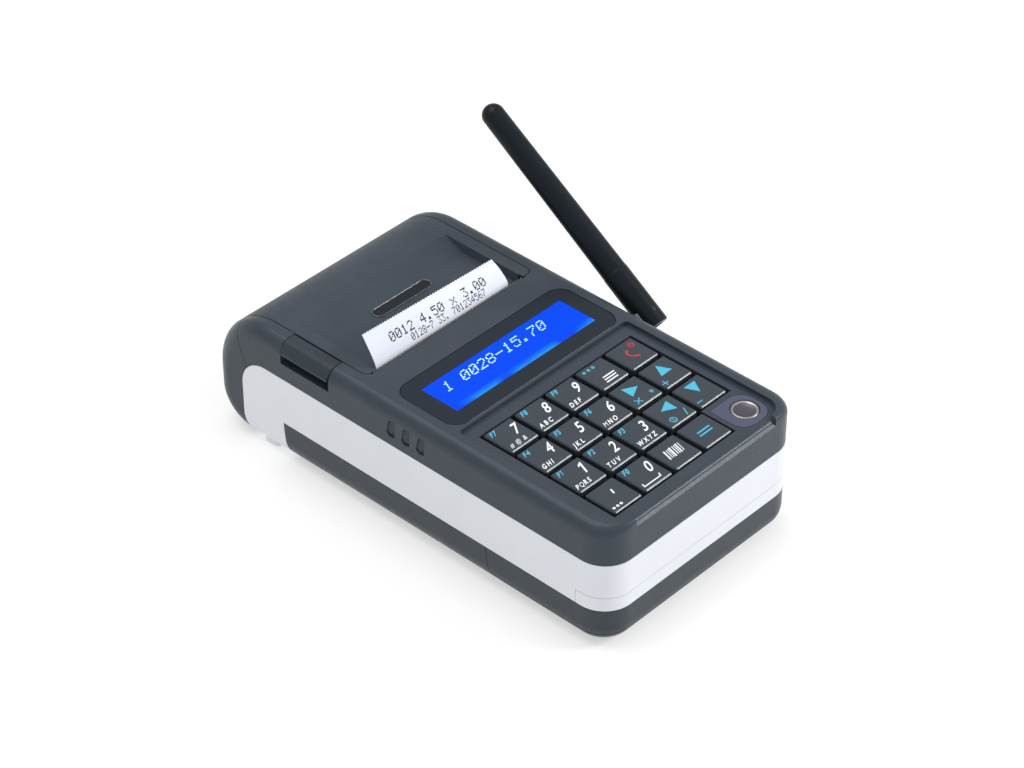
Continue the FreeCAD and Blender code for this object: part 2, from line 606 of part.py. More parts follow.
# ---- tear bar, window and display --------------------------------------------------------
def make_tear_bar():
    """A thin steel strip with a row of sharp teeth along its top."""
    x0, x1, pitch = -33.4, 31.0, 1.15
    low, root, tip = 36.8, TOP_Z - 0.4, TOP_Z + 0.5
    count = int((x1 - x0) / pitch)
    points = [(x0, low), (x0, root)]
    for k in range(count):
        left = x0 + k * pitch
        points += [(left + pitch / 2, tip), (left + pitch, root)]
    points.append((x0 + count * pitch, low))
    return front_prism(points, SLOT_FRONT_Y, SLOT_FRONT_Y + 0.4)


save("tear_bar", make_tear_bar())
save("display_window", rounded_box(-WINDOW_X + 0.1, WINDOW_X - 0.1, WINDOW_Y[0] + 0.1,
                                   WINDOW_Y[1] - 0.1, TOP_Z - 1.2, TOP_Z - 0.05, WINDOW_R - 0.1))
glass = box(LCD_X[0] - 2.1, LCD_X[1] + 2.1, LCD_Y[0] - 1.8, LCD_Y[1] + 1.0, 36, TOP_Z - 1.9)
save("lcd_module", fuse([glass, box(-33, 35.5, -13.5, 8.5, 33.2, DECK_LOW_Z)]))


# ---- keypad ------------------------------------------------------------------------------


def key_centre(column, row):
    return (column - 2) * KEY_PITCH, KEY_ROW_Y + row * KEY_PITCH


def make_key(column, row):
    """A square cap with bevelled edges, hollowed underneath for the mat's dome."""
    x, y = key_centre(column, row)
    half, bevel = KEY_SIZE / 2, 0.33
    cap = rounded_box(x - half, x + half, y - half, y + half, KEY_LOW_Z, KEY_Z, 0.6)
    rim = [e for e in cap.Edges if e.BoundBox.ZMin > KEY_Z - 1e-3]
    cap = cap.makeChamfer(bevel, rim)
    return cap.cut(rod(3.6, (x, y, KEY_LOW_Z - 1), (x, y, KEY_LOW_Z + 0.9)))


KEY_CELLS = [(column, row) for row in range(4) for column in range(5) if (column, row) != (4, 0)]
for column, row in KEY_CELLS:
    save("key_r{}_c{}".format(row + 1, column + 1), make_key(column, row))
mat = box(-33.8, 33.8, -75.6, -22.0, BOARD_TOP_Z, MAT_TOP_Z)
domes = [Part.makeCone(2.9, 2.3, 0.6, Vector(*key_centre(*cell), MAT_TOP_Z)) for cell in KEY_CELLS]
save("keypad_mat", fuse([mat] + domes))
save("keypad_board", rounded_box(-36, 36, -76.4, -20.6, BOARD_TOP_Z - 1.6, BOARD_TOP_Z, 6.0))


# ---- boards and battery ------------------------------------------------------------------
save("main_board", box(-36, 36, -34, 0, 20.2, 21.8))
save("buzzer", rod(6.0, (-22, -8, 21.8), (-22, -8, 24.6)).cut(rod(0.9, (-22, -8, 23), (-22, -8, 25))))
battery = rounded_box(-31, 31, -76, -38, 2.0, 18.5, 3.0)
save("battery_pack", battery)


# ---- printer -----------------------------------------------------------------------------
IDLER_Y = PLATEN_Y - 12.0 * 0.342
IDLER_Z = PLATEN_Z - 12.0 * 0.940
PINION_Y, PINION_Z = IDLER_Y - 9.0, IDLER_Z - 5.408
ROLL_X = (PAPER_X - PAPER_W / 2, PAPER_X + PAPER_W / 2)


def gear(teeth, y, z, phase, bore):
    """A spur gear across GEAR_X with one tooth's middle at the phase angle (from +Y to +Z)."""
    pitch_r = GEAR_MODULE * teeth / 2
    root_r, tip_r = pitch_r - 1.2 * GEAR_MODULE, pitch_r + 0.9 * GEAR_MODULE
    quarter = math.pi / 2 / teeth
    flank = [(root_r, quarter * 1.45), (pitch_r, quarter * 0.86), (tip_r, quarter * 0.38)]
    points = []
    for k in range(teeth):
        middle = phase + 4 * quarter * k
        for radius, half in flank:
            points.append((y + radius * math.cos(middle - half), z + radius * math.sin(middle - half)))
        for radius, half in reversed(flank):
            points.append((y + radius * math.cos(middle + half), z + radius * math.sin(middle + half)))
    return side_prism(points, *GEAR_X).cut(rod(bore, (GEAR_X[0] - 1, y, z), (GEAR_X[1] + 1, y, z)))


TO_IDLER = math.atan2(IDLER_Z - PLATEN_Z, IDLER_Y - PLATEN_Y)
TO_PINION = math.atan2(PINION_Z - IDLER_Z, PINION_Y - IDLER_Y)
IDLER_PHASE = TO_IDLER + math.pi + math.pi / IDLER_TEETH
LEAD = (IDLER_PHASE - TO_PINION) * IDLER_TEETH / PINION_TEETH
PINION_PHASE = TO_PINION + math.pi - LEAD + math.pi / PINION_TEETH

save("platen_shaft", rod(SHAFT_R, (-34.0, PLATEN_Y, PLATEN_Z), (33.4, PLATEN_Y, PLATEN_Z)))
roller = rod(PLATEN_R, (ROLLER_X[0], PLATEN_Y, PLATEN_Z), (ROLLER_X[1], PLATEN_Y, PLATEN_Z))
save("platen_roller", roller.cut(rod(SHAFT_R, (-40, PLATEN_Y, PLATEN_Z), (40, PLATEN_Y, PLATEN_Z))))
save("platen_gear", gear(PLATEN_TEETH, PLATEN_Y, PLATEN_Z, TO_IDLER, SHAFT_R))
save("idler_gear", gear(IDLER_TEETH, IDLER_Y, IDLER_Z, IDLER_PHASE, AXLE_R + 0.05))
pinion_shaft = rod(PINION_SHAFT_R, (MOTOR_X[1] - 6, PINION_Y, PINION_Z), (GEAR_X[1], PINION_Y, PINION_Z))
pinion = gear(PINION_TEETH, PINION_Y, PINION_Z, PINION_PHASE, 0.5)
save("motor_pinion", fuse([pinion, pinion_shaft]))


def make_stepper_motor():
    can = rod(7.5, (MOTOR_X[0], PINION_Y, PINION_Z), (MOTOR_X[1], PINION_Y, PINION_Z))
    flange = box(MOTOR_X[1] - 1.0, MOTOR_X[1], PINION_Y - 2, 23.0, PINION_Z - 5, PINION_Z + 5)
    bore = rod(PINION_SHAFT_R + 0.05, (MOTOR_X[1] - 6.5, PINION_Y, PINION_Z), (30, PINION_Y, PINION_Z))
    return fuse([can, flange]).cut(bore)


save("stepper_motor", make_stepper_motor())


def make_printer_frame():
    """Two arms with open slots for the platen's shaft, a crossbar and two legs."""
    arms = [box(x0, x1, PLATEN_Y - 3.2, PLATEN_Y + 3.2, 22.6, PLATEN_Z + 2.0)
            for x0, x1 in ((-35.6, -34.4), (28.3, 29.6))]
    crossbar = box(-35.6, 29.6, 23.0, 28.6, 22.6, 25.6)
    legs = [box(x0, x0 + 6, 23.0, 28.6, 2.0, 23) for x0 in (-27, 20)]
    axle_plate = box(28.3, 29.6, IDLER_Y - 3, 26.0, IDLER_Z - 3, 24)
    axle = rod(AXLE_R, (28.5, IDLER_Y, IDLER_Z), (GEAR_X[1] + 0.4, IDLER_Y, IDLER_Z))
    frame = fuse(arms + [crossbar] + legs + [axle_plate, axle])
    slots = [rod(SHAFT_R + 0.35, (-36, PLATEN_Y, PLATEN_Z), (30, PLATEN_Y, PLATEN_Z)),
             side_prism([(PLATEN_Y - 1.85, PLATEN_Z - 0.3), (PLATEN_Y + 1.85, PLATEN_Z + 0.3),
                         (PLATEN_Y + 4.0, PLATEN_Z + 6), (PLATEN_Y - 1.0, PLATEN_Z + 6)], -36, 30)]
    return cut(frame, slots)


save("printer_frame", make_printer_frame())
save("print_head", fuse([box(-31, 25, 18.8, 21.1, 26.4, 34.6), box(-31, 25, 18.8, 23.0, 22.9, 25.4),
                         box(-31, 25, 18.8, 20.2, 24, 28)]))


def make_paper_tub():
    """The trough that the roll drops into, closed at both ends."""
    x0, x1 = ROLL_X[0] - 2.0, ROLL_X[1] + 2.0
    inner, outer = ROLL_R + 0.6, ROLL_R + 2.2
    trough = rod(outer, (x0, ROLL_Y, ROLL_Z), (x1, ROLL_Y, ROLL_Z))
    room = rod(inner, (ROLL_X[0] - 0.5, ROLL_Y, ROLL_Z), (ROLL_X[1] + 0.5, ROLL_Y, ROLL_Z))
    hubs = [rod(5.4, (a, ROLL_Y, ROLL_Z), (b, ROLL_Y, ROLL_Z))
            for a, b in ((x0, ROLL_X[0] + 3), (ROLL_X[1] - 3, x1))]
    feet_strips = [box(a, a + 1.5, 50.9, 56, BULGE_Z + WALL, 6) for a in (x0, x1 - 1.5)]
    above = box(-60, 60, 0, FAR, ROLL_Z + 6.0, 60)
    return fuse([trough.cut(room).cut(above)] + hubs + feet_strips)


save("paper_tub", make_paper_tub())
save("paper_roll", rod(ROLL_R, (ROLL_X[0], ROLL_Y, ROLL_Z), (ROLL_X[1], ROLL_Y, ROLL_Z))
     .cut(rod(5.9, (-60, ROLL_Y, ROLL_Z), (60, ROLL_Y, ROLL_Z))))


# ---- receipt -----------------------------------------------------------------------------
INSIDE = [(21.2, 30.2), (21.2, 32.5), (21.15, 35.2), (20.6, 38.2)]
RIGHT_EDGE = INSIDE + [(20.0, 40.9), (21.2, 43.0), (23.9, 45.3), (27.1, 47.0)]
LEFT_EDGE = INSIDE + [(19.9, 40.9), (20.9, 43.6), (23.0, 47.0), (25.5, 50.7)]


def paper_profile(x, points):
    """A closed outline of the sheet's thickness along one of its edges."""
    front = Part.BSplineCurve()
    front.interpolate([Vector(x, y, z) for y, z in points])
    behind = Part.BSplineCurve()
    behind.interpolate([Vector(x, y + PAPER_T, z - 0.02) for y, z in points])
    a, b = front.toShape(), behind.toShape()
    return Part.Wire([a, line(tuple(front.EndPoint), tuple(behind.EndPoint)), b,
                      line(tuple(behind.StartPoint), tuple(front.StartPoint))])


ends = [paper_profile(ROLL_X[0], LEFT_EDGE), paper_profile(ROLL_X[1], RIGHT_EDGE)]
save("receipt_strip", Part.makeLoft(ends, True, True))


# ---- antenna -----------------------------------------------------------------------------
PIVOT = Vector(ANT_X, ANT_Y, ANT_Z)


def laid_along_whip(shape):
    """Takes a shape drawn with the whip along +Z and the pin along +Y to its place."""
    shape = shape.copy()
    shape.rotate(Vector(0, 0, 0), Vector(1, 0, 0), math.degrees(ANT_TILT) - 90)
    shape.translate(PIVOT)
    return shape


def make_whip():
    """A tapered rod with a domed tip, slotted at its foot."""
    dome = ANT_TIP_R
    bend = math.sqrt(0.5)
    shoulder = 16.0
    outline = [
        line((0, 0, -ANT_DOWN), (ANT_ROOT_R - 0.3, 0, -ANT_DOWN)),
        line((ANT_ROOT_R - 0.3, 0, -ANT_DOWN), (ANT_ROOT_R, 0, -ANT_DOWN + 0.3)),
        line((ANT_ROOT_R, 0, -ANT_DOWN + 0.3), (ANT_ROOT_R, 0, shoulder)),
        line((ANT_ROOT_R, 0, shoulder), (ANT_ROOT_R - 0.12, 0, shoulder + 0.4)),
        line((ANT_ROOT_R - 0.12, 0, shoulder + 0.4), (ANT_TIP_R, 0, ANT_UP - dome)),
        arc((ANT_TIP_R, 0, ANT_UP - dome), (dome * bend, 0, ANT_UP - dome + dome * bend),
            (0, 0, ANT_UP)),
        line((0, 0, ANT_UP), (0, 0, -ANT_DOWN)),
    ]
    whip = Part.Face(Part.Wire(outline)).revolve(Vector(0, 0, 0), Vector(0, 0, 1), 360)
    slot = box(-9, 2.3, -SLOT_HALF, SLOT_HALF, -9, 2.6)
    pin_hole = rod(FOLD_PIN_R, (0, -9, 0), (0, 9, 0))
    return laid_along_whip(cut(Part.Solid(whip), [slot, pin_hole]))


def make_knuckle():
    """A hexagon collar on a stub, with a flat tongue that the whip folds about."""
    tongue = box(-6.7, 0, -TONGUE_HALF, TONGUE_HALF, -2.0, 2.0)
    nose = rod(2.0, (0, -TONGUE_HALF, 0), (0, TONGUE_HALF, 0))
    blade = laid_along_whip(fuse([tongue, nose]).cut(rod(FOLD_PIN_R + 0.05, (0, -5, 0), (0, 5, 0))))
    x0, x1 = HALF_W + 0.3, 44.9
    hexagon = [(ANT_Y + 4.3 * math.cos(a), ANT_Z + 4.3 * math.sin(a))
               for a in [math.radians(60 * k + 30) for k in range(6)]]
    nut = side_prism(hexagon, x0, x0 + 1.5)
    collar = rod(3.6, (x0 + 1.5, ANT_Y, ANT_Z), (x1, ANT_Y, ANT_Z))
    stub = rod(1.5, (36.5, ANT_Y, ANT_Z), (x0 + 0.1, ANT_Y, ANT_Z))
    return fuse([nut, collar, stub, blade])


save("antenna_whip", make_whip())
save("antenna_knuckle", make_knuckle())
save("antenna_pin", laid_along_whip(rod(FOLD_PIN_R, (0, -ANT_ROOT_R - 0.1, 0), (0, ANT_ROOT_R + 0.1, 0))))
jack = fuse([rod(3.2, (36.0, ANT_Y, ANT_Z), (HALF_W + 0.1, ANT_Y, ANT_Z)),
             rod(4.1, (37.6, ANT_Y, ANT_Z), (HALF_W - WALL, ANT_Y, ANT_Z))])
save("antenna_jack", jack.cut(rod(1.55, (36.4, ANT_Y, ANT_Z), (45, ANT_Y, ANT_Z))))


# ---- screws ------------------------------------------------------------------------------
def base_screw(x, y):
    head = rod(SCREW_HEAD_R, (x, y, 0.5), (x, y, 2.0))
    shank = rod(SCREW_R, (x, y, 1.9), (x, y, 12.5))
    slot = fuse([box(x - 1.5, x + 1.5, y - 0.3, y + 0.3, 0, 1.2),
                 box(x - 0.3, x + 0.3, y - 1.5, y + 1.5, 0, 1.2)])
    return fuse([head, shank]).cut(slot)


save("case_screws", Part.makeCompound([base_screw(x, y) for x, y in BASE_SCREWS]))
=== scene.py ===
"""Looks for a portable payment terminal with a receipt printer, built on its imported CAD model."""
import math

import bmesh
import bpy
from mathutils import Matrix, Vector


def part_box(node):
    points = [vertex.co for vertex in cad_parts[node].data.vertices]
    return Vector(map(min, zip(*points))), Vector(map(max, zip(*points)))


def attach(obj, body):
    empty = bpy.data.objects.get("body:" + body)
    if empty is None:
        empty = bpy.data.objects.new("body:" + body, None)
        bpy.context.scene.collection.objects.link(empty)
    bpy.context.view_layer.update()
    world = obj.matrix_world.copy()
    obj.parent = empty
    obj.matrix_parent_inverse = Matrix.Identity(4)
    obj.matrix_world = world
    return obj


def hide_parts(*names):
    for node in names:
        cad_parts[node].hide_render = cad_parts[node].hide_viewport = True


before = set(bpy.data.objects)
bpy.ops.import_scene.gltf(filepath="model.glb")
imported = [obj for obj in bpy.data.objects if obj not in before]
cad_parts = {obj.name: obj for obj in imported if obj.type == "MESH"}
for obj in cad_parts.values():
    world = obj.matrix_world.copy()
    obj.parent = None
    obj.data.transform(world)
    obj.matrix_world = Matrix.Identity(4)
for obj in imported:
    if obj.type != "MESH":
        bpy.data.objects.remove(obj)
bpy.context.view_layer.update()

MM = 0.001
CAP_HEIGHT = 0.729       # of the built-in type at size one
TYPE_DEPTH = 0.1         # half the depth of a raised sign before it is scaled
MERGE = 1e-4             # points of a sign nearer than this are one
ROUND_STEPS = 64
SHARP_DEG = 35           # edges turned more than this stay sharp on smooth pieces


# ---- materials -----------------------------------------------------------------------------
def linear(red, green, blue):
    """A display colour (0 to 255) as the shader's linear numbers."""
    def one(value):
        value /= 255
        return value / 12.92 if value <= 0.04045 else ((value + 0.055) / 1.055) ** 2.4
    return one(red), one(green), one(blue), 1.0


def nodes_of(name):
    material = bpy.data.materials.new(name)
    material.use_nodes = True
    tree = material.node_tree
    return material, tree, tree.nodes["Principled BSDF"]


def noise(tree, size_mm, detail=3.0, stretch=(1, 1, 1)):
    """Noise in the object's own space, its features about size_mm across."""
    place = tree.nodes.new("ShaderNodeTexCoord")
    spread = tree.nodes.new("ShaderNodeMapping")
    spread.inputs["Scale"].default_value = [s / (size_mm * MM) for s in stretch]
    grain = tree.nodes.new("ShaderNodeTexNoise")
    grain.inputs["Scale"].default_value = 1.0
    grain.inputs["Detail"].default_value = detail
    tree.links.new(place.outputs["Object"], spread.inputs["Vector"])
    tree.links.new(spread.outputs["Vector"], grain.inputs["Vector"])
    return grain.outputs["Fac"]


def ramp(tree, factor, low, high, start=0.35, end=0.65):
    """Colours between low and high over the middle of the factor's range."""
    band = tree.nodes.new("ShaderNodeValToRGB")
    band.color_ramp.elements[0].position = start
    band.color_ramp.elements[0].color = low
    band.color_ramp.elements[1].position = end
    band.color_ramp.elements[1].color = high
    tree.links.new(factor, band.inputs["Fac"])
    return band.outputs["Color"]


def grey(value):
    return value, value, value, 1.0


def shade(colour, factor):
    return (*[min(1.0, channel * factor) for channel in colour[:3]], 1.0)


def surface(name, colour, rough, metallic=0.0, grain_mm=0.22, bump=0.12, mottle=0.05,
            rough_spread=0.05, coat=0.0, stretch=(1, 1, 1), specular=0.5):
    """A moulded or machined surface: slow changes of tone, fine grain, uneven gloss."""
    material, tree, shader = nodes_of(name)
    tone = ramp(tree, noise(tree, 14.0, 4.0), shade(colour, 1 - mottle), shade(colour, 1 + mottle))
    tree.links.new(tone, shader.inputs["Base Color"])
    gloss = ramp(tree, noise(tree, 1.6, 5.0, stretch), grey(rough - rough_spread),
                 grey(rough + rough_spread))
    tree.links.new(gloss, shader.inputs["Roughness"])
    relief = tree.nodes.new("ShaderNodeBump")
    relief.inputs["Strength"].default_value = bump
    relief.inputs["Distance"].default_value = 0.05 * MM
    tree.links.new(noise(tree, grain_mm, 2.0, stretch), relief.inputs["Height"])
    tree.links.new(relief.outputs["Normal"], shader.inputs["Normal"])
    shader.inputs["Metallic"].default_value = metallic
    shader.inputs["Coat Weight"].default_value = coat
    shader.inputs["Coat Roughness"].default_value = 0.08
    shader.inputs["Specular IOR Level"].default_value = specular
    return material


MATERIALS = {
    "slate": surface("slate_shell", linear(54, 62, 71), 0.4, specular=0.2, bump=0.06, coat=0.1),
    "cover": surface("slate_cover", linear(58, 66, 75), 0.5, grain_mm=0.3, specular=0.2,
                     bump=0.08),
    "latch": surface("latch_plastic", linear(48, 56, 64), 0.42, specular=0.2),
    "base": surface("dark_base", linear(43, 52, 60), 0.42, specular=0.3, coat=0.14),
    "white": surface("white_band", linear(217, 220, 226), 0.4, mottle=0.012, bump=0.06,
                     specular=0.3),
    "key": surface("key_cap", linear(48, 56, 65), 0.3, grain_mm=0.3, bump=0.03,
                   specular=0.28, coat=0.3),
    "plaque": surface("plaque", linear(72, 76, 98), 0.25, mottle=0.03, bump=0.04, coat=0.2,
                      specular=0.3),
    # dark rubber, made near-black as painted shade for the gaps between the keys, where only this
    # mat shows
    "mat": surface("rubber_mat_painted_shade", linear(18, 19, 21), 0.7),
    "board": surface("circuit_board", linear(20, 88, 55), 0.4, coat=0.3),
    "battery": surface("battery_wrap", linear(36, 38, 44), 0.35, coat=0.2),
    "steel": surface("steel", linear(196, 197, 200), 0.3, metallic=1.0, grain_mm=0.4,
                     stretch=(0.05, 1, 1)),
    "gunmetal": surface("gunmetal", linear(92, 96, 101), 0.26, metallic=1.0, bump=0.03),
    "satin": surface("satin_ring", linear(164, 160, 158), 0.36, metallic=1.0, grain_mm=0.25,
                     bump=0.05),
    # the dish is the ring's satin metal painted darker: painted shade in its hollow
    "dish": surface("satin_dish_painted_shade", linear(102, 100, 106), 0.42, metallic=1.0, grain_mm=0.25,
                    bump=0.05),
    "frame": surface("inner_frame", linear(40, 42, 46), 0.5),
    "gear": surface("gear_plastic", linear(222, 219, 205), 0.4),
    "roller": surface("roller_rubber", linear(34, 34, 36), 0.75, bump=0.3),
    "foot": surface("foot_rubber", linear(26, 26, 28), 0.8, bump=0.3),
    "antenna": surface("antenna_sleeve", linear(20, 27, 34), 0.34, mottle=0.03, bump=0.02,
                       grain_mm=0.6, specular=0.14),
    "paper": surface("receipt_paper", linear(224, 228, 238), 0.75, mottle=0.01, grain_mm=0.35,
                     bump=0.2),
    "window": surface("window_border", linear(35, 42, 50), 0.25, mottle=0.02, bump=0.01,
                      rough_spread=0.02, specular=0.12),
    "badge": surface("badge_face", linear(30, 35, 41), 0.3, mottle=0.03, bump=0.03,
                     specular=0.12),
    "rim": surface("badge_rim", linear(62, 71, 81), 0.25, mottle=0.02, bump=0.02, coat=0.3),
    "blade": surface("tear_blade", linear(126, 122, 114), 0.4, metallic=1.0, grain_mm=0.4),
    "white_ink": surface("white_ink", linear(236, 239, 243), 0.6, mottle=0.01, bump=0.05,
                         specular=0.2),
    "cyan_ink": surface("cyan_ink", linear(76, 176, 206), 0.6, mottle=0.01, bump=0.05,
                        specular=0.2),
    "red_ink": surface("red_ink", linear(200, 34, 46), 0.5, mottle=0.01, bump=0.05),
    "print": surface("thermal_print", linear(28, 30, 40), 0.8, mottle=0.1, bump=0.05),
}


def lit(name, low, high, strength, size_mm):
    """A lit display layer: its colour drifts slowly from low to high."""
    material, tree, shader = nodes_of(name)
    colour = ramp(tree, noise(tree, size_mm, 1.0), low, high, 0.42, 0.68)
    tree.links.new(colour, shader.inputs["Emission Color"])
    tree.links.new(colour, shader.inputs["Base Color"])
    shader.inputs["Emission Strength"].default_value = strength
    shader.inputs["Roughness"].default_value = 0.15
    return material


LCD = -29.6, 30.3, -11.3, 3.3             # the lit panel's x0, x1, y0, y1
GLOW_TOP_Y = -8.6                         # the lamps' glow fades out above this


def lit_panel(name, blue, glow, strength):
    """A back-lit panel whose lamps show as patches along its lower edge."""
    material, tree, shader = nodes_of(name)
    place = tree.nodes.new("ShaderNodeTexCoord")
    axes = tree.nodes.new("ShaderNodeSeparateXYZ")
    tree.links.new(place.outputs["Object"], axes.inputs["Vector"])
    edge = tree.nodes.new("ShaderNodeMapRange")
    edge.inputs["From Min"].default_value = GLOW_TOP_Y * MM
    edge.inputs["From Max"].default_value = LCD[2] * MM
    tree.links.new(axes.outputs["Y"], edge.inputs["Value"])
    spots = tree.nodes.new("ShaderNodeMath")
    spots.operation = "MULTIPLY"
    tree.links.new(edge.outputs["Result"], spots.inputs[0])
    lamps = ramp(tree, noise(tree, 12.0, 0.0), grey(0.0), grey(1.0), 0.45, 0.6)
    tree.links.new(lamps, spots.inputs[1])
    colour = ramp(tree, spots.outputs["Value"], blue, glow, 0.0, 1.0)
    tree.links.new(colour, shader.inputs["Emission Color"])
    shader.inputs["Base Color"].default_value = linear(0, 12, 60)
    shader.inputs["Emission Strength"].default_value = strength
    shader.inputs["Roughness"].default_value = 0.3
    shader.inputs["Specular IOR Level"].default_value = 0.05
    return material


MATERIALS["lcd"] = lit_panel("display_blue", linear(0, 78, 252), linear(40, 160, 250), 0.94)
MATERIALS["pixel"] = lit("display_pixel", linear(150, 200, 255), linear(180, 220, 255), 0.75,
                         9.0)

NODE_LOOKS = {
    "slate": ["top_shell", "rear_housing"],
    "cover": ["paper_cover"],
    "latch": ["cover_latch"],
    "base": ["base_shell", "battery_door"],
    "white": ["mid_shell", "battery_door_lip", "rear_feet"],
    "plaque": ["button_plaque"],
    # the near-black rubber is painted shade: in the key gaps, and on the antenna's pin to look like
    # a dark hole
    "mat": ["keypad_mat", "antenna_pin"],
    "board": ["keypad_board", "main_board"],
    "battery": ["battery_pack"],
    "steel": ["cover_hinge_pin", "latch_pin", "latch_spring", "case_screws", "platen_shaft",
              "motor_pinion"],
    "blade": ["tear_bar"],
    "gunmetal": ["antenna_knuckle", "antenna_jack"],
    "satin": ["round_button", "stepper_motor"],
    "frame": ["printer_frame", "paper_tub", "buzzer", "print_head", "lcd_module"],
    "gear": ["platen_gear", "idler_gear"],
    "roller": ["platen_roller"],
    "foot": ["front_feet"],
    "antenna": ["antenna_whip"],
    "paper": ["paper_roll", "receipt_strip"],
    "window": ["display_window"],
    "badge": ["cover_badge"],
    "key": [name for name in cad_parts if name.startswith("key_r")],
}


def dress(thing, look):
    thing.data.materials.clear()
    thing.data.materials.append(MATERIALS[look])


for look, names in NODE_LOOKS.items():
    for name in names:
        dress(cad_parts[name], look)


# ---- mesh helpers --------------------------------------------------------------------------
def finished(name, mesh_data, look, body, smooth=False):
    """Turns a bmesh into a visible piece on a body, and frees it."""
    bmesh.ops.recalc_face_normals(mesh_data, faces=mesh_data.faces[:])
    mesh = bpy.data.meshes.new(name)
    mesh_data.to_mesh(mesh)
    mesh_data.free()
    piece = bpy.data.objects.new(name, mesh)
    bpy.context.scene.collection.objects.link(piece)
    if smooth:
        mesh.shade_smooth()
        mesh.set_sharp_from_angle(angle=math.radians(SHARP_DEG))
    dress(piece, look)
    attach(piece, body)
    return piece


def add_prism(mesh_data, outline, z0, z1):
    """A closed prism over (x, y) points in millimetres."""
    low = [mesh_data.verts.new((x * MM, y * MM, z0 * MM)) for x, y in outline]
    high = [mesh_data.verts.new((x * MM, y * MM, z1 * MM)) for x, y in outline]
    count = len(outline)
    mesh_data.faces.new(low[::-1])
    mesh_data.faces.new(high)
    for k in range(count):
        after = (k + 1) % count
        mesh_data.faces.new((low[k], low[after], high[after], high[k]))


def add_box(mesh_data, x0, x1, y0, y1, z0, z1):
    add_prism(mesh_data, [(x0, y0), (x1, y0), (x1, y1), (x0, y1)], z0, z1)


def add_ring(mesh_data, loops):
    """A closed ring through loops of (x, y, z) points, in millimetres, and back to the first."""
    rings = [[mesh_data.verts.new((x * MM, y * MM, z * MM)) for x, y, z in loop] for loop in loops]
    for a, b in zip(rings, rings[1:] + rings[:1]):
        for k in range(len(a)):
            after = (k + 1) % len(a)
            mesh_data.faces.new((a[k], a[after], b[after], b[k]))


def turned(name, profile, centre, look, body):
    """A closed ring of revolution about an upright axis: profile points are radius, height."""
    mesh_data = bmesh.new()
    rings = []
    for k in range(ROUND_STEPS):
        angle = 2 * math.pi * k / ROUND_STEPS
        c, s = math.cos(angle), math.sin(angle)
        rings.append([mesh_data.verts.new(((centre[0] + r * c) * MM, (centre[1] + r * s) * MM,
                                           z * MM)) for r, z in profile])
    for k in range(ROUND_STEPS):
        a, b = rings[k], rings[(k + 1) % ROUND_STEPS]
        for i in range(len(profile)):
            j = (i + 1) % len(profile)
            mesh_data.faces.new((a[i], b[i], b[j], a[j]))
    return finished(name, mesh_data, look, body, smooth=True)


def stroke(points, width):
    """The outline of a straight stroke with square ends."""
    (ax, ay), (bx, by) = points
    length = math.hypot(bx - ax, by - ay)
    ux, uy = (bx - ax) / length * width / 2, (by - ay) / length * width / 2
    return [(ax - ux + uy, ay - uy - ux), (bx + ux + uy, by + uy - ux),
            (bx + ux - uy, by + uy + ux), (ax - ux - uy, ay - uy + ux)]


def rounded_rectangle(x0, x1, y0, y1, radius, steps=8):
    points = []
    corners = [(x1 - radius, y1 - radius, 0), (x0 + radius, y1 - radius, 90),
               (x0 + radius, y0 + radius, 180), (x1 - radius, y0 + radius, 270)]
    for x, y, start in corners:
        for k in range(steps + 1):
            angle = math.radians(start + 90 * k / steps)
            points.append((x + radius * math.cos(angle), y + radius * math.sin(angle)))
    return points


# a plain 1 with a flag, one unit high
ONE_OUTLINE = [(0.26, 0), (0.44, 0), (0.44, 1), (0.3, 1), (0.02, 0.84), (0.02, 0.66),
               (0.26, 0.79)]


def typed_solid(sign, weight):
    """A sign of the built-in type, with its outline moved out by weight."""
    curve = bpy.data.curves.new("type", "FONT")
    curve.body = sign
    curve.extrude = TYPE_DEPTH
    curve.offset = weight
    curve.resolution_u = 3
    source = bpy.data.objects.new("type", curve)
    bpy.context.scene.collection.objects.link(source)
    mesh = bpy.data.meshes.new_from_object(source)
    bpy.data.objects.remove(source)
    solid = bmesh.new()
    solid.from_mesh(mesh)
    bpy.data.meshes.remove(mesh)
    bmesh.ops.remove_doubles(solid, verts=solid.verts[:], dist=MERGE)
    bmesh.ops.recalc_face_normals(solid, faces=solid.faces[:])
    return solid


def sign_mesh(sign, weight):
    """One printed sign as a closed solid in its own bmesh, with capitals one unit high."""
    if sign == "1":
        flagged = bmesh.new()
        add_prism(flagged, [(x / MM, y / MM) for x, y in ONE_OUTLINE], -TYPE_DEPTH / MM,
                  TYPE_DEPTH / MM)
        return flagged
    solid = typed_solid(sign, weight)
    if not all(edge.is_contiguous for edge in solid.edges):
        solid.free()         # the moved outline crosses itself
        solid = typed_solid(sign, 0.0)
    for vertex in solid.verts:
        vertex.co.x, vertex.co.y = vertex.co.x / CAP_HEIGHT, vertex.co.y / CAP_HEIGHT
    return solid


def add_copy(mesh_data, solid):
    """Joins one bmesh into another."""
    spare = bpy.data.meshes.new("spare")
    solid.to_mesh(spare)
    solid.free()
    mesh_data.from_mesh(spare)
    bpy.data.meshes.remove(spare)


def add_letters(mesh_data, text, x, y, height, width_factor, z0, z1, spacing=0.0, slant=0.0,
                weight=0.0):
    """Sets type with its baseline at (x, y), in millimetres, each sign by its own width."""
    for sign in text:
        if sign == " ":
            x += height * 0.4
            continue
        solid = sign_mesh(sign, weight)
        start = min(vertex.co.x for vertex in solid.verts) * height * width_factor
        end = max(vertex.co.x for vertex in solid.verts) * height * width_factor
        for vertex in solid.verts:
            up = vertex.co.y * height
            across = vertex.co.x * height * width_factor - start + slant * up
            z = z1 if vertex.co.z > 0 else z0
            vertex.co = ((x + across) * MM, (y + up) * MM, z * MM)
        add_copy(mesh_data, solid)
        x += end - start + spacing


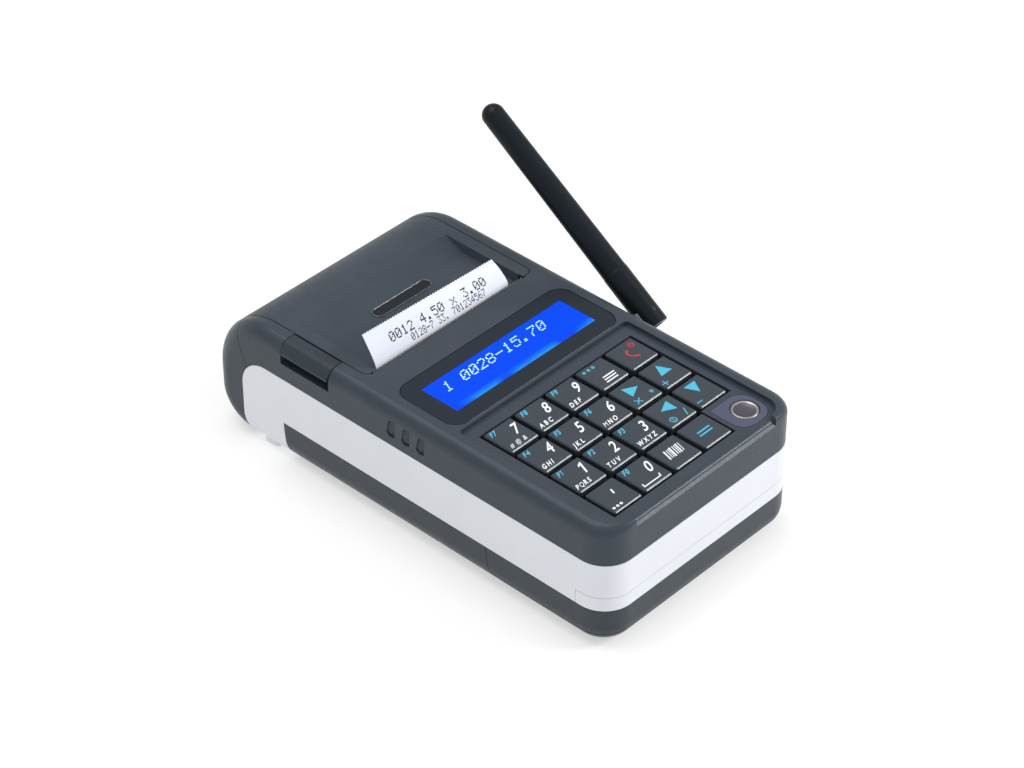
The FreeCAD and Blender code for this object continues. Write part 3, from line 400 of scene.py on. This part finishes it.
# ---- key legends ---------------------------------------------------------------------------
INK_DEPTH, INK_RISE = 0.03, 0.015        # how far the ink's solid sinks in and stands out
INK_STEP = 0.002                         # sets crossing marks apart, so no two faces coincide
SLANT = 0.36
ARC_STEP_DEG = 12
DIGIT_CAP, GROUP_CAP, FUNCTION_CAP = 4.5, 1.95, 2.1           # heights of the capitals
DIGIT_WEIGHT, GROUP_WEIGHT, FUNCTION_WEIGHT = 0.012, 0.025, 0.03
DIGIT_KEYS = {                            # row, column: digit, letters, function number
    (4, 1): ("7", "", "F7"), (4, 2): ("8", "ABC", "F8"), (4, 3): ("9", "DEF", "F9"),
    (3, 1): ("4", "GHI", "F4"), (3, 2): ("5", "JKL", "F5"), (3, 3): ("6", "MNO", "F6"),
    (2, 1): ("1", "PQRS", "F1"), (2, 2): ("2", "TUV", "F2"), (2, 3): ("3", "WXYZ", "F3"),
    (1, 2): ("0", "", "F0"),
}


def key_name(row, column):
    return f"key_r{row}_c{column}"


def key_place(row, column):
    """The middle of a key's top, in millimetres."""
    low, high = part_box(key_name(row, column))
    return (low[0] + high[0]) / 2 / MM, (low[1] + high[1]) / 2 / MM, high[2] / MM


class Legend:
    """Collects one ink's marks on one key, placed in millimetres from the middle of its top."""

    def __init__(self, row, column, ink):
        self.key, self.ink = key_name(row, column), ink
        self.x, self.y, top = key_place(row, column)
        self.z0, self.z1 = top - INK_DEPTH, top + INK_RISE
        self.mesh = bmesh.new()

    def step(self):
        """The next mark's foot and top, each a little past the mark before."""
        self.z0, self.z1 = self.z0 - INK_STEP, self.z1 + INK_STEP
        return self.z0, self.z1

    def type(self, text, x, y, height, width_factor=0.8, spacing=0.3, weight=0.0):
        add_letters(self.mesh, text, self.x + x, self.y + y, height, width_factor,
                    self.z0, self.z1, spacing, SLANT, weight)

    def patch(self, points):
        add_prism(self.mesh, [(self.x + x, self.y + y) for x, y in points], *self.step())

    def line(self, *points, width=0.35):
        for a, b in zip(points, points[1:]):
            self.patch(stroke((a, b), width))

    def arc(self, centre, radius, width, start=0.0, turn=360.0):
        steps = max(6, int(abs(turn) / ARC_STEP_DEG))
        ring = bmesh.new()
        outer, inner = radius + width / 2, radius - width / 2
        foot, top = self.step()
        whole = abs(turn) >= 360.0
        rim = []
        for k in range(steps if whole else steps + 1):
            angle = math.radians(start + turn * k / steps)
            c, s = math.cos(angle), math.sin(angle)
            rim.append([ring.verts.new(((self.x + centre[0] + r * c) * MM,
                                        (self.y + centre[1] + r * s) * MM, z * MM))
                        for r, z in ((inner, foot), (outer, foot), (outer, top), (inner, top))])
        last = len(rim) if whole else len(rim) - 1
        for k in range(last):
            a, b = rim[k], rim[(k + 1) % len(rim)]
            for i in range(4):
                j = (i + 1) % 4
                ring.faces.new((a[i], a[j], b[j], b[i]))
        if not whole:
            ring.faces.new(rim[0])
            ring.faces.new(rim[-1][::-1])
        add_copy(self.mesh, ring)

    def done(self):
        finished(f"legend_{self.key[4:]}_{self.ink}", self.mesh, f"{self.ink}_ink", self.key)


for (row, column), (digit, group, function) in DIGIT_KEYS.items():
    white = Legend(row, column, "white")
    white.type(digit, 1.3, -0.95, DIGIT_CAP, 0.78, weight=DIGIT_WEIGHT)
    if group:
        start, spacing = (-5.1, 0.4) if len(group) == 4 else (-5.0, 0.68)
        white.type(group, start, -4.5, GROUP_CAP, 0.74, spacing, GROUP_WEIGHT)
    elif digit == "7":
        white.type("#", -4.3, -4.5, 1.9, 0.8)
        white.type("@", -1.9, -4.3, 1.7, 0.8)
        white.type("&", 1.0, -4.5, 1.9, 0.8)
    else:
        white.line((-4.2, -3.1), (-4.4, -4.1), (2.4, -4.1), (2.8, -3.1), width=0.4)
    white.done()
    cyan = Legend(row, column, "cyan")
    cyan.type(function, -4.75, 2.95, FUNCTION_CAP, 0.72, 0.25, FUNCTION_WEIGHT)
    cyan.done()

TRIANGLES = {                             # pointing right, up, left and down
    (3, 4): ((-2.1, 3.9), (2.6, 1.5), (-2.1, -0.9)),
    (3, 5): ((0.25, 4.1), (2.6, -0.5), (-2.2, -0.6)),
    (2, 4): ((2.8, 4.0), (2.7, -0.7), (-1.9, 1.65)),
    (2, 5): ((2.7, 4.1), (-2.1, 4.1), (0.1, -0.5)),
}
cyan_marks = {}
for (row, column), corners in TRIANGLES.items():
    cyan_marks[row, column] = Legend(row, column, "cyan")
    cyan_marks[row, column].patch(corners)
right_key, up_key, left_key, down_key = cyan_marks.values()
right_key.line((-3.6, -4.3), (-1.4, -2.5))
right_key.line((-3.4, -2.5), (-1.6, -4.3))
for turn in range(3):                     # a small star
    angle = math.radians(60 * turn + 30)
    dx, dy = 0.7 * math.cos(angle), 0.7 * math.sin(angle)
    right_key.line((3.6 - dx, -3.0 - dy), (3.6 + dx, -3.0 + dy), width=0.24)
up_key.line((-4.9, -3.55), (-2.8, -3.55))
up_key.line((-3.85, -4.6), (-3.85, -2.5))
left_key.arc((-2.2, -3.4), 1.05, 0.35)
left_key.line((-2.2, -3.95), (-2.2, -2.85), width=0.3)
left_key.line((2.6, -4.6), (3.9, -2.0))
down_key.line((-4.7, -3.55), (-2.8, -3.55))
equals_key, dots = Legend(1, 4, "cyan"), Legend(4, 4, "cyan")
equals_key.line((-2.2, 0.5), (2.6, 0.5), width=0.55)
equals_key.line((-2.5, -0.9), (2.3, -0.9), width=0.55)
for k in range(3):
    dots.arc((-3.6 + 1.9 * k, 3.9), 0.36, 0.4)
for legend in (right_key, up_key, left_key, down_key, equals_key, dots):
    legend.done()

list_key, code_key, comma_key = Legend(4, 4, "white"), Legend(1, 3, "white"), Legend(1, 1, "white")
for k in range(3):
    left, bar_y = -1.9 + 0.35 * k, -3.9 + 1.15 * k
    list_key.line((left, bar_y), (left + 4.4, bar_y), width=0.5)
bar_x = -3.2
for thick in (0.5, 0.25, 0.25, 0.6, 0.3, 0.3, 0.5, 0.25):
    code_key.line((bar_x, -1.4), (bar_x + 0.9, 2.0), width=thick)
    bar_x += thick + 0.45
comma_key.line((1.2, 1.9), (0.8, 0.6), width=0.55)
for k in range(3):
    comma_key.arc((-4.2 + 1.5 * k, -4.0), 0.28, 0.4)
for legend in (list_key, code_key, comma_key):
    legend.done()

red = Legend(4, 5, "red")                 # a power sign above a handset
red.arc((3.1, 3.0), 0.95, 0.3, 120.0, 300.0)
red.line((3.1, 3.1), (3.1, 4.3), width=0.3)
red.arc((1.0, 0.3), 2.1, 0.5, 155.0, 100.0)
red.line((-0.98, 1.1), (-0.15, 1.75), width=0.75)
red.line((0.3, -1.75), (0.95, -2.15), width=0.75)
red.done()


# ---- round button --------------------------------------------------------------------------
BUTTON_BORE_R, DISH_R = 3.35, 3.3
AXIS_R = 0.02            # the dish is closed round this thin gap on its axis


def make_button():
    """A satin ring round a shallow dish; the dish is the ring's satin metal painted darker, as
    painted shade in its hollow.
    """
    low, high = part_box("round_button")
    centre = ((low[0] + high[0]) / 2 / MM, (low[1] + high[1]) / 2 / MM)
    foot, top, radius = low[2] / MM, high[2] / MM, (high[0] - low[0]) / 2 / MM
    ring = [(BUTTON_BORE_R, foot), (radius, foot), (radius, top - 0.35),
            (radius - 0.08, top - 0.15), (radius - 0.25, top - 0.03), (radius - 0.45, top),
            (radius - 0.65, top - 0.04), (BUTTON_BORE_R, top - 0.22)]
    piece = turned("button_ring", ring, centre, "satin", "round_button")
    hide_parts("round_button")
    # the dish's darker satin is painted shade in the hollow, not a different metal
    dish = [(AXIS_R, foot), (DISH_R, foot), (DISH_R, top - 0.28), (2.9, top - 0.42),
            (2.2, top - 0.58), (1.2, top - 0.68), (AXIS_R, top - 0.7)]
    turned("button_dish", dish, centre, "dish", "round_button")


make_button()


# ---- display window ------------------------------------------------------------------------
DOT_SIGNS = {
    "0": "01110 10001 10011 10101 11001 10001 01110",
    "1": "00100 01100 00100 00100 00100 00100 01110",
    "2": "01110 10001 00001 00010 00100 01000 11111",
    "3": "11111 00010 00100 00010 00001 10001 01110",
    "4": "00010 00110 01010 10010 11111 00010 00010",
    "5": "11111 10000 11110 00001 00001 10001 01110",
    "6": "00110 01000 10000 11110 10001 10001 01110",
    "7": "11111 00001 00010 00100 01000 01000 01000",
    "8": "01110 10001 10001 01110 10001 10001 01110",
    "9": "01110 10001 10001 01111 00001 00010 01100",
    ".": "00000 00000 00000 00000 00000 01100 01100",
    "-": "00000 00000 00000 11111 00000 00000 00000",
    "x": "00000 00000 10001 01010 00100 01010 10001",
    " ": "00000 00000 00000 00000 00000 00000 00000",
}


def lit_dots(text):
    """The (column, row) of every dark or lit dot in a line of dot-matrix signs, rows upward."""
    dots = []
    for place, sign in enumerate(text):
        for down, bits in enumerate(DOT_SIGNS[sign].split()):
            dots += [(6 * place + k, 6 - down) for k, bit in enumerate(bits) if bit == "1"]
    return dots


WINDOW_R, WINDOW_BEVEL = 5.4, 0.18
LCD_R, LCD_GAP = 0.35, 0.03               # the panel's corners and the gap round it
LCD_TEXT = "1 0028-15.70"
LCD_TEXT_X, LCD_TEXT_Y = -25.2, -3.2      # the first sign's foot
LCD_DOT, LCD_DOT_ACROSS = 0.62, 0.98      # a dot's pitch, and its share of that across
LCD_LEAN, LCD_LIT = 0.42, 0.74            # the signs' slant, and how much of a pitch is lit


def make_window():
    """A smoked border printed round a lit panel, both flush under one flat face."""
    low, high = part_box("display_window")
    x0, x1, y0, y1 = low[0] / MM, high[0] / MM, low[1] / MM, high[1] / MM
    z0, z1 = low[2] / MM, high[2] / MM
    middle_x, middle_y = (x0 + x1) / 2, (y0 + y1) / 2
    outer = rounded_rectangle(x0, x1, y0, y1, WINDOW_R)
    inner = rounded_rectangle(*LCD, LCD_R)

    def loop(points, z, inset=0.0):
        return [(x - math.copysign(inset, x - middle_x), y - math.copysign(inset, y - middle_y),
                 z) for x, y in points]

    border = bmesh.new()
    add_ring(border, [loop(inner, z0), loop(outer, z0), loop(outer, z1 - WINDOW_BEVEL),
                      loop(outer, z1, WINDOW_BEVEL), loop(inner, z1)])
    piece = finished("window_border", border, "window", "housing")
    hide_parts("display_window")

    panel = bmesh.new()
    add_prism(panel, rounded_rectangle(LCD[0] + LCD_GAP, LCD[1] - LCD_GAP, LCD[2] + LCD_GAP,
                                       LCD[3] - LCD_GAP, LCD_R - 0.05), z0 + 0.2, z1 - 0.05)
    finished("display_panel", panel, "lcd", "housing")

    signs = bmesh.new()
    lit_side = LCD_DOT * LCD_LIT
    for column, row in lit_dots(LCD_TEXT):
        x = LCD_TEXT_X + column * LCD_DOT * LCD_DOT_ACROSS + LCD_LEAN * row * LCD_DOT
        y = LCD_TEXT_Y + row * LCD_DOT
        add_box(signs, x, x + lit_side, y, y + lit_side, z1 - 0.08, z1 - 0.02)
    finished("display_digits", signs, "pixel", "housing")


make_window()


# ---- badge ---------------------------------------------------------------------------------
RIM_WIDTH, RIM_GAP = 0.55, 0.03           # the badge's rim and the gap inside it
PLATE_DROP = 0.24                         # from the rim's top to the plate's


def make_badge():
    """A blank dark plate in a rounded rim."""
    low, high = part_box("cover_badge")
    x0, x1, y0, y1 = low[0] / MM, high[0] / MM, low[1] / MM, high[1] / MM
    z0, z1 = low[2] / MM, high[2] / MM

    def pill(inset, z):
        radius = (y1 - y0) / 2 - inset - 0.01       # short of a half circle, so no points meet
        outline = rounded_rectangle(x0 + inset, x1 - inset, y0 + inset, y1 - inset, radius, 12)
        return [(x, y, z) for x, y in outline]

    rim = bmesh.new()
    add_ring(rim, [pill(RIM_WIDTH, z0), pill(0, z0), pill(0, z1 - 0.14), pill(0.12, z1 - 0.03),
                   pill(0.26, z1), pill(0.42, z1 - 0.05), pill(RIM_WIDTH, z1 - 0.2)])
    piece = finished("badge_rim", rim, "rim", "cover", smooth=True)
    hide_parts("cover_badge")
    plate = bmesh.new()
    outline = [(x, y) for x, y, _ in pill(RIM_WIDTH + RIM_GAP, z0)]
    add_prism(plate, outline, z0, z1 - PLATE_DROP)
    finished("badge_plate", plate, "badge", "cover")


make_badge()


# ---- receipt -------------------------------------------------------------------------------
PAPER_T = 0.12
TEETH, PAPER_ROWS = 52, 26
TOOTH = 0.04             # a torn point's depth as a share of the strip's length
# the strip's two long edges as (y, z) points from inside the slot to the torn end
RIGHT_EDGE = [(20.75, 37.0), (20.05, 40.9), (21.2, 43.0), (23.9, 45.3), (27.1, 47.0)]
LEFT_EDGE = [(20.75, 37.0), (19.95, 40.9), (20.9, 43.6), (23.0, 47.0), (25.5, 50.7)]


def smooth_path(points, t):
    """A point on a smooth line through the points, t from 0 to 1 by arc share."""
    spans = [math.dist(a, b) for a, b in zip(points, points[1:])]
    goal = t * sum(spans)
    for k, span in enumerate(spans):
        if goal <= span or k == len(spans) - 1:
            break
        goal -= span
    u = goal / spans[k]
    p = [points[max(0, min(len(points) - 1, k + d))] for d in (-1, 0, 1, 2)]
    weights = (-u ** 3 / 2 + u ** 2 - u / 2, 1.5 * u ** 3 - 2.5 * u ** 2 + 1,
               -1.5 * u ** 3 + 2 * u ** 2 + u / 2, u ** 3 / 2 - u ** 2 / 2)
    return [sum(w * q[axis] for w, q in zip(weights, p)) for axis in (0, 1)]


STRIP_LOW, STRIP_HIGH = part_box("receipt_strip")
STRIP_X = STRIP_LOW[0] / MM, STRIP_HIGH[0] / MM


def paper_point(across, along):
    """A point on the strip's front, in millimetres: across from its left, along from inside."""
    left, right = smooth_path(LEFT_EDGE, along), smooth_path(RIGHT_EDGE, along)
    y, z = [a + (b - a) * across for a, b in zip(left, right)]
    return Vector((STRIP_X[0] + (STRIP_X[1] - STRIP_X[0]) * across, y, z))


def paper_frame(across, along):
    here = paper_point(across, along)
    step_u = paper_point(min(1, across + 0.01), along) - paper_point(max(0, across - 0.01), along)
    step_v = paper_point(across, min(1, along + 0.01)) - paper_point(across, max(0, along - 0.01))
    return here, step_u.cross(step_v).normalized()


def make_receipt():
    """The printed strip: a thin curled sheet with a row of torn points along its end."""
    rows, columns = PAPER_ROWS, TEETH * 2
    sheet = bmesh.new()
    faces = []
    for side in (0, 1):
        grid = []
        for r in range(rows + 1):
            line = []
            for c in range(columns + 1):
                along = r / rows
                if r == rows:
                    along -= TOOTH * (c % 2)
                here, out = paper_frame(c / columns, along)
                line.append(sheet.verts.new((here - out * PAPER_T * side) * MM))
            grid.append(line)
        faces.append(grid)
    for side, grid in enumerate(faces):
        for r in range(rows):
            for c in range(columns):
                quad = (grid[r][c], grid[r][c + 1], grid[r + 1][c + 1], grid[r + 1][c])
                sheet.faces.new(quad if side == 0 else quad[::-1])
    front, back = faces
    edge = [(r, 0) for r in range(rows)] + [(rows, c) for c in range(columns)]
    edge += [(r, columns) for r in range(rows, 0, -1)] + [(0, c) for c in range(columns, 0, -1)]
    for k, (r, c) in enumerate(edge):
        r2, c2 = edge[(k + 1) % len(edge)]
        sheet.faces.new((front[r][c], front[r2][c2], back[r2][c2], back[r][c]))
    piece = finished("receipt_paper", sheet, "paper", "cover", smooth=True)
    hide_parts("receipt_strip")


DOT_SHARE = 0.97         # of a printed dot's pitch
PRINT_DEPTH, PRINT_RISE = 0.03, 0.012


def print_line(mesh_data, text, across, along, dot_u, dot_v):
    """Dot-matrix signs on the strip's curved face: place and pitch are shares of its sides."""
    for column, row in lit_dots(text):
        u, v = across + column * dot_u, along + row * dot_v
        far_u, far_v = u + dot_u * DOT_SHARE, v + dot_v * DOT_SHARE
        corners = [(u, v), (far_u, v), (far_u, far_v), (u, far_v)]
        low, high = [], []
        for cu, cv in corners:
            here, out = paper_frame(cu, cv)
            low.append(mesh_data.verts.new((here - out * PRINT_DEPTH) * MM))
            high.append(mesh_data.verts.new((here + out * PRINT_RISE) * MM))
        mesh_data.faces.new(low[::-1])
        mesh_data.faces.new(high)
        for k in range(4):
            after = (k + 1) % 4
            mesh_data.faces.new((low[k], low[after], high[after], high[k]))


make_receipt()
ink = bmesh.new()
print_line(ink, "0012 4.50 x 3.00", 0.15, 0.56, 0.0076, 0.029)
print_line(ink, "0128-7 33. 701234567", 0.28, 0.36, 0.0047, 0.024)
finished("receipt_print", ink, "print", "cover")


# ---- camera, light and floor ---------------------------------------------------------------
CAMERA_PLACE = -0.5567, -0.5241, 0.6262
CAMERA_AZIMUTH, CAMERA_ELEVATION = -47.02, 38.05
LENS_MM = 114.15
FLOOR_HALF = 6.0
AIM_Z = 0.02             # the height the lights look at


def set_camera():
    data = bpy.data.cameras.new("camera")
    data.lens, data.sensor_width = LENS_MM, 36.0
    camera = bpy.data.objects.new("camera", data)
    bpy.context.scene.collection.objects.link(camera)
    camera.location = CAMERA_PLACE
    azimuth, elevation = math.radians(CAMERA_AZIMUTH), math.radians(CAMERA_ELEVATION)
    back = Vector((math.sin(azimuth) * math.cos(elevation),
                   -math.cos(azimuth) * math.cos(elevation), math.sin(elevation)))
    camera.rotation_euler = (-back).to_track_quat("-Z", "Y").to_euler()
    data.clip_start, data.clip_end = 0.05, 20.0
    bpy.context.scene.camera = camera


def add_light(name, towards, distance, size, power):
    """A square soft box that looks at the object from the given direction."""
    data = bpy.data.lights.new(name, "AREA")
    data.shape, data.size, data.energy = "SQUARE", size, power
    light = bpy.data.objects.new(name, data)
    bpy.context.scene.collection.objects.link(light)
    direction = Vector(towards).normalized()
    light.location = direction * distance + Vector((0, 0, AIM_Z))
    light.rotation_euler = (-direction).to_track_quat("-Z", "Y").to_euler()


def set_world(strength):
    world = bpy.data.worlds.new("studio")
    world.use_nodes = True
    background = world.node_tree.nodes["Background"]
    background.inputs["Color"].default_value = grey(1.0)
    background.inputs["Strength"].default_value = strength
    bpy.context.scene.world = world


def make_floor():
    """A pale floor that glows a little, so the shadows on it stay light."""
    half, floor_z = FLOOR_HALF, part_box("front_feet")[0][2]
    mesh = bpy.data.meshes.new("floor")
    mesh.from_pydata([(-half, -half, floor_z), (half, -half, floor_z), (half, half, floor_z),
                      (-half, half, floor_z)], [], [(0, 1, 2, 3)])
    floor = bpy.data.objects.new("floor", mesh)
    bpy.context.scene.collection.objects.link(floor)
    material, tree, shader = nodes_of("pale_floor")
    tone = ramp(tree, noise(tree, 900.0, 2.0), grey(0.5), grey(0.52))
    tree.links.new(tone, shader.inputs["Base Color"])
    shader.inputs["Emission Color"].default_value = grey(1.0)
    shader.inputs["Emission Strength"].default_value = 0.5
    shader.inputs["Roughness"].default_value = 0.8
    mesh.materials.append(material)


set_camera()
set_world(0.69)
add_light("key", (0.576, -0.616, 0.537), distance=1.2, size=0.32, power=7.0)
add_light("top", (-0.1, 0.3, 1.0), distance=1.3, size=0.9, power=7.5)
make_floor()
bpy.context.scene.view_settings.view_transform = "Standard"
